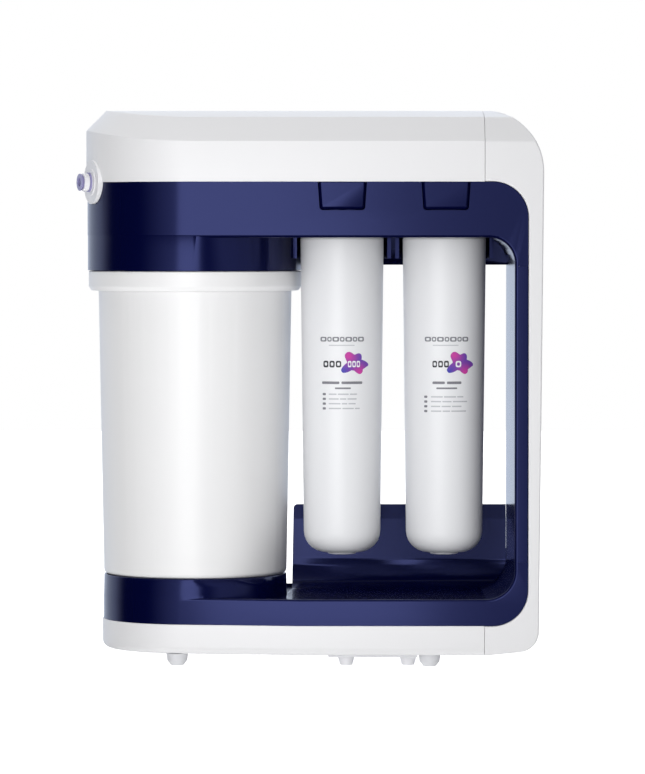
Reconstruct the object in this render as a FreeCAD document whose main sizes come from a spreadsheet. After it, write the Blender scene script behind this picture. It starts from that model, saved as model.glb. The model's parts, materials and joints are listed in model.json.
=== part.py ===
import FreeCAD, Part
import math
import os
from types import SimpleNamespace

import Sketcher

# Under-sink reverse osmosis unit. +Z up, the front faces -Y, the storage tank stands at the -X end.
# The origin is the middle of the object's box in X and Y, at the height of the feet's soles.

DRIVING_SIZES = [
    ("half_depth", 82, "tank axis plane to the front or the back face"),
    ("tank_x", -86, "tank axis, which is also the centre of the round end"),
    ("right_x", 174.5, "right outer side at the top"),
    ("right_draft", 4, "how far the right side leans in at the base"),
    ("crown_top", 414, "highest line of the vaulted top"),
    ("vault_radius", 377, "radius of the vaulted top across its depth"),
    ("cover_bottom", 360, "joint between the white top and the blue head"),
    ("cover_chamfer", 15, "chamfer round the top"),
    ("corner_radius", 48, "outer corner at the top right"),
    ("base_corner", 15, "outer corner at the bottom right"),
    ("base_rise", 4, "how far the underside rises towards the right side"),
    ("seam_x", 130.5, "joint between the top and base covers and the side cover"),
    ("seam_gap", 0.3, "gap left at a joint between two white covers"),
    ("blue_gap", 0.1, "gap left at a joint between two blue parts"),
    ("foot_height", 9, "feet below the base"),
    ("base_top", 31, "joint between the white base and the blue tray"),
    ("cover_wall", 2.5, "wall of the moulded covers"),
    ("inlay_x", 162.5, "right edge of the blue parts, seen from the front"),
    ("inlay_radius", 26.5, "right corners of the blue parts"),
    ("inlay_step", 0.8, "how far the blue faces lie behind the white ones"),
    ("bay_x", 152.5, "right side of the open bay"),
    ("bay_top", 318.5, "lower edge of the front panel"),
    ("bay_top_corner", 19, "upper right corner of the bay"),
    ("bay_bottom_corner", 21, "lower right corner of the bay"),
    ("bay_left", -8, "left edge of the bay, beside the tank"),
    ("edge_rounding", 2.2, "rounded front edge all round the bay"),
    ("rear_edge", 297.5, "lower edge of the head's rear wall"),
    ("skirt_bottom", 294, "lower edge of the drum over the tank"),
    ("skirt_radius", 81, "drum over the tank"),
    ("deck_top", 325, "upper face of the head's deck"),
    ("lip_top", 50.7, "top of the tray's front lip"),
    ("tray_floor", 48, "top of the tray's floor"),
    ("tray_end_radius", 70.2, "round end of the base and the tray"),
    ("hull_x", -6, "where the base reaches its full depth"),
    ("cradle_top", 64.8, "top of the tank's cradle"),
    ("back_top", 112, "top of the tray's rear wall"),
    ("back_wall", 5, "thickness of the tray's rear wall"),
    ("back_lean", 11, "height of the leaning strip along the top of the rear wall"),
    ("cove_radius", 24, "curve between the tray's floor and its rear wall"),
    ("column_low", 78, "joint between the tray and the column"),
    ("tank_top_radius", 72.9, "tank under its collar"),
    ("tank_foot_radius", 69, "tank at its foot"),
    ("collar_radius", 80.3, "screw collar of the tank"),
    ("collar_bottom", 281, "underside of the screw collar"),
    ("cartridge_left_x", 25, "axis of the left cartridge"),
    ("cartridge_pitch", 76.6, "between the two cartridge axes"),
    ("cartridge_y", -32.2, "both cartridge axes"),
    ("cartridge_radius", 31.2, "cartridge at its top"),
    ("cartridge_foot_radius", 28.5, "cartridge above its rounded foot"),
    ("cartridge_bottom", 81.5, "lowest point of a cartridge"),
    ("cartridge_top", 318, "top of a cartridge's shell"),
    ("neck_radius", 15, "cartridge neck"),
    ("head_bore", 16.5, "bore that the neck's seals run in"),
    ("rotor_radius", 23, "valve rotor"),
    ("head_radius", 30, "filter head"),
    ("socket_radius", 36.7, "socket round a cartridge's top"),
    ("button_top_width", 35.5, "release button at its top"),
    ("button_foot_width", 32.5, "release button at its foot"),
    ("button_bottom", 339.4, "foot of a release button"),
    ("button_gap", 0.5, "gap round a release button"),
    ("rod_height", 345, "axis of the rod behind a release button"),
    ("port_angle", 22, "angle of the feed and drain ports from the unit's length"),
    ("product_angle", 55, "angle of the product port from the unit's length"),
    ("port_plate_radius", 16.3, "round plate that a port stands in"),
    ("port_radius", 6.9, "barrel of a port"),
    ("port_end", 92.5, "tip of a port's collet from the tank axis"),
    ("tube_radius", 3.175, "quarter inch water tube"),
    ("socket_bore", 3.28, "socket that a water tube slides into"),
    ("tube_bore", 2.1, "inside of a water tube"),
]

doc = FreeCAD.newDocument("ReverseOsmosisUnit")
sheet = doc.addObject("Spreadsheet::Sheet", "Sizes")


class Size:
    """A length that carries its number and the sheet formula that gives it."""

    def __init__(self, number, formula):
        self.number = number
        self.formula = formula

    def joined(self, sign, other, number):
        return Size(number, f"({self.formula} {sign} {formula_of(other)})")

    def __add__(self, other):
        return self.joined("+", other, self.number + number_of(other))

    def __radd__(self, other):
        return self + other

    def __sub__(self, other):
        return self.joined("-", other, self.number - number_of(other))

    def __rsub__(self, other):
        return Size(other - self.number, f"({other} - {self.formula})")

    def __mul__(self, factor):
        return self.joined("*", factor, self.number * number_of(factor))

    def __truediv__(self, divisor):
        return self.joined("/", divisor, self.number / number_of(divisor))

    def __neg__(self):
        return Size(-self.number, f"(0 - {self.formula})")


def number_of(value):
    return value.number if isinstance(value, Size) else float(value)


def formula_of(value):
    return value.formula if isinstance(value, Size) else repr(float(value))


def fill_sheet():
    """Writes the driving sizes into the sheet and returns them as named lengths."""
    named = {}
    for row, (alias, value, note) in enumerate(DRIVING_SIZES, start=1):
        sheet.set(f"A{row}", note)
        sheet.set(f"B{row}", str(value))
        sheet.setAlias(f"B{row}", alias)
        named[alias] = Size(float(value), f"Sizes.{alias}")
    doc.recompute()
    return SimpleNamespace(**named)


size = fill_sheet()
nodes = []


# ---------------------------------------------------------------- building blocks

def bind(thing, name, value):
    """Sets a property and, where the value comes from the sheet, binds it there."""
    if not name.startswith("Placement"):
        setattr(thing, name, number_of(value))
    if isinstance(value, Size):
        thing.setExpression(name, value.formula)


def place(thing, x=0, y=0, z=0, turn=None):
    """Puts a solid at a point; turn is an optional rotation (axis, degrees)."""
    rotation = FreeCAD.Rotation(FreeCAD.Vector(*turn[0]), turn[1]) if turn else FreeCAD.Rotation()
    spot = FreeCAD.Vector(number_of(x), number_of(y), number_of(z))
    thing.Placement = FreeCAD.Placement(spot, rotation)
    for letter, value in zip("xyz", (x, y, z)):
        bind(thing, f"Placement.Base.{letter}", value)
    return thing


def box(name, x, y, z, length, width, height):
    solid = doc.addObject("Part::Box", name)
    bind(solid, "Length", length)
    bind(solid, "Width", width)
    bind(solid, "Height", height)
    return place(solid, x, y, z)


def cylinder(name, radius, height, x=0, y=0, z=0, turn=None):
    solid = doc.addObject("Part::Cylinder", name)
    bind(solid, "Radius", radius)
    bind(solid, "Height", height)
    return place(solid, x, y, z, turn)


def ring(name, radius, wire, x=0, y=0, z=0, turn=None):
    """An O-ring: radius to the middle of its cord, wire the cord's own radius."""
    solid = doc.addObject("Part::Torus", name)
    bind(solid, "Radius1", radius)
    bind(solid, "Radius2", wire)
    return place(solid, x, y, z, turn)


def origin_plane(body, role):
    return next(item for item in body.Origin.OriginFeatures if item.Role == role)


def draw_outline(sketch, corners):
    """Draws a closed outline; a corner is (across, up) or (across, up, rounding radius)."""
    count = len(corners)
    sharp = [FreeCAD.Vector(number_of(c[0]), number_of(c[1]), 0) for c in corners]
    arrivals = []
    departures = []
    for index, corner in enumerate(corners):
        here = sharp[index]
        back = (sharp[index - 1] - here).normalize()
        onward = (sharp[(index + 1) % count] - here).normalize()
        setback = number_of(corner[2]) / math.tan(back.getAngle(onward) / 2) if len(corner) > 2 else 0
        arrivals.append(here + back * setback)
        departures.append(here + onward * setback)
    lines = []
    for index in range(count):
        segment = Part.LineSegment(departures[index], arrivals[(index + 1) % count])
        lines.append(sketch.addGeometry(segment, False))
    for index, corner in enumerate(corners):
        before = lines[index - 1]
        after = lines[index]
        if len(corner) > 2:
            anchor = draw_rounding(sketch, before, after, sharp[index], arrivals[index], departures[index],
                                   corner[2])
        else:
            sketch.addConstraint(Sketcher.Constraint("Coincident", before, 2, after, 1))
            anchor = after
        for kind, value in (("DistanceX", corner[0]), ("DistanceY", corner[1])):
            fix(sketch, Sketcher.Constraint(kind, anchor, 1, number_of(value)), value)


def draw_rounding(sketch, before, after, corner, arrival, departure, radius):
    """Adds the tangent arc at one corner and returns the marker point that holds the corner."""
    middle = (arrival + departure) * 0.5
    reach = number_of(radius) / math.sin((arrival - corner).getAngle(departure - corner) / 2)
    centre = corner + (middle - corner).normalize() * reach
    left_turn = (corner - arrival).cross(departure - corner).z > 0
    first, last = (arrival, departure) if left_turn else (departure, arrival)
    angles = [math.atan2(spot.y - centre.y, spot.x - centre.x) for spot in (first, last)]
    circle = Part.Circle(centre, FreeCAD.Vector(0, 0, 1), number_of(radius))
    arc = sketch.addGeometry(Part.ArcOfCircle(circle, angles[0], angles[1]), False)
    sketch.addConstraint(Sketcher.Constraint("Tangent", before, 2, arc, 1 if left_turn else 2))
    sketch.addConstraint(Sketcher.Constraint("Tangent", arc, 2 if left_turn else 1, after, 1))
    fix(sketch, Sketcher.Constraint("Radius", arc, number_of(radius)), radius)
    marker = sketch.addGeometry(Part.Point(corner), True)
    sketch.addConstraint(Sketcher.Constraint("PointOnObject", marker, 1, before))
    sketch.addConstraint(Sketcher.Constraint("PointOnObject", marker, 1, after))
    return marker


def fix(sketch, constraint, value):
    index = sketch.addConstraint(constraint)
    if isinstance(value, Size):
        sketch.setExpression(f"Constraints[{index}]", value.formula)


def sketched_body(name, plane, corners):
    body = doc.addObject("PartDesign::Body", name)
    sketch = body.newObject("Sketcher::SketchObject", name + "_sketch")
    sketch.AttachmentSupport = (origin_plane(body, plane), [""])
    sketch.MapMode = "FlatFace"
    draw_outline(sketch, corners)
    return body, sketch


def padded(name, plane, corners, depth):
    body, sketch = sketched_body(name, plane, corners)
    pad = body.newObject("PartDesign::Pad", name + "_pad")
    pad.Profile = sketch
    bind(pad, "Length", depth)
    sketch.Visibility = False
    return body


def front_prism(name, corners, back, depth):
    """A prism with its outline in the front view, from y = back forwards by depth."""
    return place(padded(name, "XZ_Plane", corners, depth), y=back)


def side_prism(name, corners, left, length):
    """A prism with its outline in the side view, corners (y, z), from x = left by length."""
    return place(padded(name, "YZ_Plane", corners, length), x=left)


def turned(name, corners, x=0, y=0, z=0, turn=None):
    """A turned piece: corners are (radius, height) on its own axis."""
    body, sketch = sketched_body(name, "XZ_Plane", corners)
    revolution = body.newObject("PartDesign::Revolution", name + "_turn")
    revolution.Profile = sketch
    revolution.ReferenceAxis = (sketch, ["V_Axis"])
    revolution.Angle = 360
    sketch.Visibility = False
    return place(body, x, y, z, turn)


def joined(name, *solids):
    fuse = doc.addObject("Part::MultiFuse", name)
    fuse.Shapes = list(solids)
    fuse.Refine = True
    return fuse


def shared(name, *solids):
    common = doc.addObject("Part::MultiCommon", name)
    common.Shapes = list(solids)
    return common


def without(name, base, *tools):
    cut = doc.addObject("Part::Cut", name)
    cut.Base = base
    cut.Tool = tools[0] if len(tools) == 1 else joined(name + "_tools", *tools)
    return cut


def grouped(name, solids):
    compound = doc.addObject("Part::Compound", name)
    compound.Links = list(solids)
    return compound


def node(label, solid):
    """Names a finished sub-part; its label is the name of its file."""
    solid.Label = label
    nodes.append(solid)
    return solid


def from_shape(name, shape):
    feature = doc.addObject("Part::Feature", name)
    feature.Shape = shape
    return feature


def broken_edges(name, base, distance, chosen, rounded=True):
    """Rounds or chamfers the edges of a solid that the function chosen accepts."""
    doc.recompute()
    feature = doc.addObject("Part::Fillet" if rounded else "Part::Chamfer", name)
    feature.Base = base
    reach = number_of(distance)
    picked = [i for i, edge in enumerate(base.Shape.Edges, start=1) if chosen(edge)]
    feature.Edges = [(index, reach, reach) for index in picked]
    return feature


# ---------------------------------------------------------------- outer shapes shared by the covers

def stadium(name, radius, right, bottom, height):
    """The plan of the unit: a half round end about the tank axis and straight sides."""
    end = cylinder(name + "_end", radius, height, x=size.tank_x, z=bottom)
    run = box(name + "_run", size.tank_x, -radius, bottom, right - size.tank_x, radius * 2, height)
    return joined(name, end, run)


def crown(name, inset, bottom):
    """The top of the unit down to bottom, with its vault and chamfer, made smaller by inset."""
    radius = size.half_depth - inset
    block = stadium(name + "_block", radius, size.right_x + 10, bottom, size.crown_top - bottom + 5)
    barrel = cylinder(name + "_barrel", size.vault_radius - inset, 500, x=-250,
                      z=size.crown_top - size.vault_radius, turn=((0, 1, 0), 90))
    vaulted = shared(name + "_vaulted", block, barrel)
    side_drop = size.vault_radius.number - math.sqrt(size.vault_radius.number ** 2 - radius.number ** 2)
    rim = size.crown_top.number - number_of(inset) - side_drop - 1
    far_end = size.right_x.number + 9

    def on_rim(edge):
        limits = edge.BoundBox
        return limits.ZMin > rim and limits.XMin < far_end

    return broken_edges(name, vaulted, size.cover_chamfer, on_rim, rounded=False)


def outer_outline(inset):
    """Front view of the whole unit with its two right corners, open far to the left."""
    top = size.crown_top + 1 - inset
    return [
        (-400, size.foot_height + inset),
        (size.seam_x, size.foot_height + inset),
        (size.right_x - size.right_draft - inset, size.foot_height + size.base_rise + inset,
         size.base_corner - inset),
        (size.right_x - inset, top, size.corner_radius - inset),
        (-400, top),
    ]


def inlay_outline(inset):
    """Front view of the blue parts: from base_top to cover_bottom, with round right corners."""
    right = size.inlay_x - inset
    radius = size.inlay_radius - inset
    return [
        (-400, size.base_top + inset),
        (right, size.base_top + inset, radius),
        (right, size.cover_bottom - inset, radius),
        (-400, size.cover_bottom - inset),
    ]


def bay_outline(inset=0):
    """Front view of the open bay between the tray, the column and the head."""
    return [
        (size.bay_left, size.lip_top + inset),
        (size.bay_x + inset, size.lip_top + inset, size.bay_bottom_corner),
        (size.bay_x + inset, size.bay_top - inset, size.bay_top_corner),
        (size.bay_left, size.bay_top - inset),
    ]


def rounded_bay_edge(name, base):
    """Rounds the outer edges along the bay: the panel's lower edge, the tray's lip and the column."""
    skin = number_of(size.half_depth - size.inlay_step)
    end_radius = number_of(size.tray_end_radius - size.inlay_step)

    def on_bay_edge(edge):
        limits = edge.BoundBox
        in_bay = (limits.ZMin > number_of(size.lip_top) - 0.1 and limits.ZMax < number_of(size.bay_top) + 0.1
                  and limits.XMax < number_of(size.bay_x) + 0.1)
        middle = edge.valueAt((edge.FirstParameter + edge.LastParameter) / 2)
        on_front = middle.y < 0.1 - skin
        from_tank = math.hypot(middle.x - number_of(size.tank_x), middle.y)
        beside_tank = middle.x < number_of(size.bay_left) and from_tank > end_radius - 0.1
        return in_bay and (on_front or beside_tank)

    return broken_edges(name, base, size.edge_rounding, on_bay_edge)


def hull_plan(inset):
    """Plan of the base: a round end about the tank axis that widens to the full depth."""
    radius = number_of(size.tray_end_radius) - inset
    half = number_of(size.half_depth) - inset
    centre = FreeCAD.Vector(number_of(size.tank_x), 0, 0)
    shoulder = FreeCAD.Vector(number_of(size.hull_x), half, 0)
    reach = shoulder - centre
    bearing = math.atan2(reach.y, reach.x) + math.acos(radius / reach.Length)
    touch = centre + FreeCAD.Vector(math.cos(bearing), math.sin(bearing), 0) * radius
    far = FreeCAD.Vector(number_of(size.right_x) + 10, half, 0)

    def mirrored(spot):
        return FreeCAD.Vector(spot.x, -spot.y, 0)

    tip = centre - FreeCAD.Vector(radius, 0, 0)
    edges = [
        Part.Arc(touch, tip, mirrored(touch)).toShape(),
        Part.makeLine(mirrored(touch), mirrored(shoulder)),
        Part.makeLine(mirrored(shoulder), mirrored(far)),
        Part.makeLine(mirrored(far), far),
        Part.makeLine(far, shoulder),
        Part.makeLine(shoulder, touch),
    ]
    return Part.Face(Part.Wire(edges))


def hull(name, inset, bottom, height):
    plan = hull_plan(inset)
    plan.translate(FreeCAD.Vector(0, 0, number_of(bottom)))
    return from_shape(name, plan.extrude(FreeCAD.Vector(0, 0, number_of(height))))


def port_spots():
    """Each port's name and its angle from the -X direction; a positive angle turns to the front."""
    return [
        ("feed", size.port_angle),
        ("drain", -size.port_angle),
        ("product", -size.product_angle),
    ]


def along_port(angle, distance):
    """A point on a port's axis, distance out from the tank axis, at the covers' joint."""
    bearing = math.radians(number_of(angle))
    x = number_of(size.tank_x) - number_of(distance) * math.cos(bearing)
    y = -number_of(distance) * math.sin(bearing)
    return FreeCAD.Vector(x, y, number_of(size.cover_bottom))


def turned_for_port(name, corners, angle):
    """A turned piece on a port's axis; its heights are distances from the tank axis."""
    piece = turned(name, corners)
    bearing = math.radians(number_of(angle))
    outward = FreeCAD.Vector(-math.cos(bearing), -math.sin(bearing), 0)
    rotation = FreeCAD.Rotation(FreeCAD.Vector(0, 0, 1), outward)
    piece.Placement = FreeCAD.Placement(along_port(angle, 0), rotation)
    return piece


# ---------------------------------------------------------------- housing

WIDE = 200
VALVE_SPOT = (-36, -40)


def port_openings(name, radius, start, end):
    corners = [(0, start), (radius, start), (radius, end), (0, end)]
    return [turned_for_port(f"{name}_{port}", corners, angle) for port, angle in port_spots()]


def make_top_cover():
    outside = crown("top_outside", 0, size.cover_bottom)
    inside = crown("top_inside", size.cover_wall, size.cover_bottom - 1)
    left_part = box("top_left_part", -WIDE, -WIDE, size.cover_bottom, size.seam_x - size.seam_gap + WIDE,
                    2 * WIDE, 100)
    shell = without("top_shell", outside, inside)
    body = shared("top_body", shell, left_part)
    plates = port_openings("port_plate", size.port_plate_radius, 78.5, 83.2)
    rims = port_openings("port_rim", size.port_radius + 3, 82, 84)
    holes = port_openings("port_hole", size.port_radius + 0.2, 60, 90)
    ribs = [box(f"top_rib_{index}", x, -66, size.crown_top - 16, 2, 132, 20)
            for index, x in enumerate((-40, 10, 60))]
    roof_ribs = shared("top_roof_ribs", outside, joined("top_ribs", *ribs))
    joined_up = joined("top_joined", body, roof_ribs, *plates, *rims)
    node("top_cover", without("top_cover", joined_up, *holes))


def make_side_cover():
    outside = crown("side_outside", 0, size.foot_height)
    inside = crown("side_inside", size.cover_wall, 0)
    outline = front_prism("side_outline", outer_outline(0), WIDE, 2 * WIDE)
    inner_outline = front_prism("side_inner_outline", outer_outline(size.cover_wall), WIDE, 2 * WIDE)
    hollow = shared("side_hollow", inside, inner_outline)
    inlay = front_prism("side_inlay", inlay_outline(-0.2), WIDE, 2 * WIDE)
    right_part = box("side_right_part", size.seam_x, -WIDE, 0, 100, 2 * WIDE, 500)
    block = shared("side_block", outside, outline, right_part)
    node("side_cover", without("side_cover", block, hollow, inlay))


def foot_spots():
    return [(-98, -58), (90, -66), (-98, 58), (90, 66)]


def make_base_cover():
    block = hull("base_block", 0, size.foot_height, size.base_top - size.foot_height)
    foot = number_of(size.foot_height)

    def on_underside(edge):
        limits = edge.BoundBox
        return limits.ZMax < foot + 0.1 and limits.XMin < number_of(size.right_x)

    rounded = broken_edges("base_rounded", block, 6, on_underside)
    hollow = hull("base_hollow", number_of(size.cover_wall), size.foot_height + size.cover_wall, 40)
    left_part = box("base_left_part", -WIDE, -WIDE, 0, size.seam_x - size.seam_gap + WIDE, 2 * WIDE, 100)
    shell = shared("base_shell", without("base_open", rounded, hollow), left_part)
    ribs = [box(f"base_rib_{index}", x, -62, size.foot_height + 1, 2, 124, 10)
            for index, x in enumerate((-60, 0, 60))]
    holes = [cylinder(f"base_foot_hole_{index}", 3.1, 20, x=x, y=y)
             for index, (x, y) in enumerate(foot_spots())]
    node("base_cover", without("base_cover", joined("base_ribbed", shell, *ribs), *holes))


SCREW_OFFSETS = [(across, along) for across in (-11, 11) for along in (-38.5, 38.5)]


def cartridge_spots():
    return [
        ("left", size.cartridge_left_x),
        ("right", size.cartridge_left_x + size.cartridge_pitch),
    ]


def button_outline(x, gap):
    """The release button's face, a plate that narrows downwards, made larger by gap."""
    half_top = size.button_top_width / 2 + gap
    half_foot = size.button_foot_width / 2 + gap
    return [
        (x - half_foot, size.button_bottom - gap, 2.5),
        (x + half_foot, size.button_bottom - gap, 2.5),
        (x + half_top, size.cover_bottom - 0.4 + gap * 2),
        (x - half_top, size.cover_bottom - 0.4 + gap * 2),
    ]


def make_head_housing():
    skin = size.half_depth - size.inlay_step
    wall = size.cover_wall
    upper = stadium("head_upper", skin, size.right_x, size.rear_edge, size.cover_bottom - size.rear_edge - 0.1)
    outline = front_prism("head_outline", inlay_outline(0.1), WIDE, 2 * WIDE)
    block = shared("head_block", upper, outline)
    below = box("head_below", -WIDE, -WIDE, size.rear_edge - 1, size.bay_left + WIDE, 2 * WIDE,
                size.bay_top - size.rear_edge + 1)
    bay = front_prism("head_bay", bay_outline(), skin - wall, WIDE)
    face = rounded_bay_edge("head_face", without("head_face_sharp", block, below, bay))
    skirt = cylinder("head_skirt", size.skirt_radius, size.bay_top - size.skirt_bottom + 4,
                     x=size.tank_x, z=size.skirt_bottom)
    skirt_hollow = cylinder("head_skirt_hollow", size.skirt_radius - wall, size.bay_top - size.skirt_bottom + 5,
                            x=size.tank_x, z=size.skirt_bottom - 1)
    well = stadium("head_well", skin - wall, size.right_x, size.deck_top, 60)
    well_outline = front_prism("head_well_outline", inlay_outline(wall), WIDE, 2 * WIDE)
    well_open = shared("head_well_open", well, well_outline)
    well_top = stadium("head_well_top", skin - wall, size.inlay_x - size.inlay_radius, size.deck_top + 10, 60)
    under = box("head_under", size.bay_left, -skin + wall, size.bay_top - 1, size.bay_x - size.bay_left - 20,
                (skin - wall) * 2, size.deck_top - wall - size.bay_top + 1)
    channel = box("head_channel", size.bay_x + wall, -skin + wall, size.rear_edge - 1, 20,
                  (skin - wall) * 2, size.cover_bottom - size.inlay_radius - size.rear_edge)
    tank_way = cylinder("head_tank_way", 30, 40, x=size.tank_x, z=size.deck_top - 20)
    solids = [without("head_shell", face, well_open, well_top, under, channel), skirt]
    tools = [skirt_hollow, tank_way]
    for side, x in cartridge_spots():
        socket = cylinder(f"head_socket_{side}", size.socket_radius, 22, x=x, y=size.cartridge_y,
                          z=size.deck_top - 22)
        socket_front = box(f"head_socket_front_{side}", x - 40, size.cartridge_y - 40, size.deck_top - 23,
                           80, 40, 23 - wall)
        solids.append(without(f"head_half_socket_{side}", socket, socket_front))
        tools.append(cylinder(f"head_socket_bore_{side}", size.socket_radius - 2.8, 60, x=x,
                              y=size.cartridge_y, z=size.deck_top - 40))
        solids.append(box(f"head_guide_{side}", x - 9, -68, size.deck_top - 1, 18, 2.5, 28))
        tools.append(cylinder(f"head_guide_hole_{side}", 2.4, 10, x=x, y=-62, z=size.rod_height,
                              turn=((1, 0, 0), 90)))
        tools.append(front_prism(f"head_button_hole_{side}", button_outline(x, size.button_gap), -75, 10))
        tools += [cylinder(f"head_screw_bore_{side}_{index}", 1.5, 8, x=x + across, y=size.cartridge_y + along,
                           z=size.deck_top - 6) for index, (across, along) in enumerate(SCREW_OFFSETS)]
    tools += port_openings("head_port", size.port_plate_radius + 0.3, 70, 90)
    node("head_housing", without("head_housing", joined("head_solid", *solids), *tools))


def make_column_liner():
    skin = size.half_depth - size.inlay_step
    wall = size.cover_wall
    bottom = size.column_low + size.blue_gap
    height = size.rear_edge - bottom - size.blue_gap
    block = box("liner_block", size.bay_x, -skin, bottom, size.inlay_x - size.bay_x - 0.1, skin * 2, height)
    face = rounded_bay_edge("liner_face", block)
    hollow = box("liner_hollow", size.bay_x + wall, -skin + wall, bottom - 1, 20, (skin - wall) * 2, height + 2)
    channel = without("liner_channel", face, hollow)
    ribs = [box(f"liner_rib_{index}", size.bay_x + 1, -skin + 1, bottom + height * share, 8, skin * 2 - 2, 2)
            for index, share in enumerate((0.25, 0.5, 0.75))]
    node("column_liner", joined("column_liner", channel, *ribs))


def make_base_tray():
    step = number_of(size.inlay_step)
    wall = number_of(size.cover_wall)
    skin = size.half_depth - size.inlay_step
    outside = hull("tray_outside", step, size.base_top + 0.1, size.column_low - size.base_top - 0.1)
    outline = front_prism("tray_outline", inlay_outline(0.1), WIDE, 2 * WIDE)
    block = shared("tray_block", outside, outline)
    beside_tank = box("tray_beside_tank", -WIDE, -WIDE, size.lip_top, size.bay_left + WIDE + 1, 2 * WIDE, 100)
    bay = front_prism("tray_bay", bay_outline(), skin - wall, WIDE)
    pocket_plan = hull("tray_pocket_plan", step + wall, size.tray_floor, 10)
    pocket_end = box("tray_pocket_end", -WIDE, -WIDE, 0, size.bay_x - size.bay_bottom_corner + WIDE, 2 * WIDE,
                     200)
    pocket = shared("tray_pocket", pocket_plan, pocket_end)
    under_plan = hull("tray_under_plan", step + wall, size.base_top - 1,
                      size.tray_floor - size.base_top - wall + 1)
    under_outline = front_prism("tray_under_outline", inlay_outline(size.cover_wall), WIDE, 2 * WIDE)
    under = shared("tray_under", under_plan, under_outline)
    mouth = hull("tray_mouth", step + wall, size.base_top - 1, 4)
    mouth_end = box("tray_mouth_end", -WIDE, -WIDE, 0, size.inlay_x - size.inlay_radius + WIDE, 2 * WIDE, 200)
    channel = box("tray_channel", size.bay_x + wall, -skin + wall, size.base_top + size.inlay_radius, 20,
                  (skin - wall) * 2, 60)
    face = rounded_bay_edge("tray_face", without("tray_face_sharp", block, beside_tank, bay))
    shell = without("tray_shell", face, pocket, under, shared("tray_mouth_cut", mouth, mouth_end), channel)
    rim = size.tray_end_radius - size.inlay_step
    cradle = turned("tray_cradle", [
        (rim - 7, size.tray_floor - 1), (rim, size.tray_floor - 1), (rim - 0.5, size.cradle_top, 1),
        (rim - 7, size.cradle_top),
    ], x=size.tank_x)
    node("base_tray", joined("base_tray", shell, cradle, make_back_wall(step)))


def make_back_wall(step):
    """The tray's rear wall: a cove at its foot and a strip that leans back along its top."""
    skin = size.half_depth - size.inlay_step
    inner = skin - size.back_wall
    left = size.bay_left - 6
    right = size.bay_x - 0.2
    profile = side_prism("back_wall_profile", [
        (inner - size.cove_radius - 1, size.tray_floor - 1),
        (skin, size.tray_floor - 1),
        (skin, size.back_top),
        (skin - 1.5, size.back_top),
        (inner, size.back_top - size.back_lean),
        (inner, size.tray_floor, size.cove_radius),
        (inner - size.cove_radius - 1, size.tray_floor),
    ], left, right - left)
    outline = front_prism("back_wall_outline", [
        (left, 0), (right, 0), (right, size.back_top), (left + 2, size.back_top, 3),
    ], WIDE, 2 * WIDE)
    limits = hull("back_wall_limits", step, size.tray_floor - 1, 80)
    return shared("back_wall", profile, outline, limits)


def make_feet():
    feet = []
    for index, (x, y) in enumerate(foot_spots()):
        feet.append(turned(f"foot_{index}", [
            (0, 0), (4.6, 0, 1.5), (7.4, 3.6, 2), (8.2, 8.9), (3, 8.9), (3, 13), (0, 13),
        ], x, y))
    node("feet", grouped("feet", feet))


def make_underside_plate():
    bottom = size.foot_height - 2.2
    plate = box("plate_body", 14.5, -70, bottom, 66.5, 140, 2)
    bosses = []
    for index, x in enumerate((28, 74)):
        boss = doc.addObject("Part::Cone", f"plate_boss_{index}")
        bind(boss, "Radius1", 4.6)
        bind(boss, "Radius2", 6.4)
        bind(boss, "Height", 6.4)
        bosses.append(place(boss, x, -62, bottom - 6.2))
    node("underside_plate", joined("underside_plate", plate, *bosses))


def make_housing_screws():
    """Pan head screws that hold the filter heads' flanges to the deck."""
    screws = []
    for side, x in cartridge_spots():
        for index, (across, along) in enumerate(SCREW_OFFSETS):
            screws.append(turned(f"screw_{side}_{index}", [
                (0, -4), (1.45, -4), (1.45, 3.05), (3.2, 3.05), (3.2, 4.4, 0.8), (1.1, 5.2), (1.1, 4.2),
                (0, 4.2),
            ], x + across, size.cartridge_y + along, size.deck_top))
    return screws


# ---------------------------------------------------------------- storage tank

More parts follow.
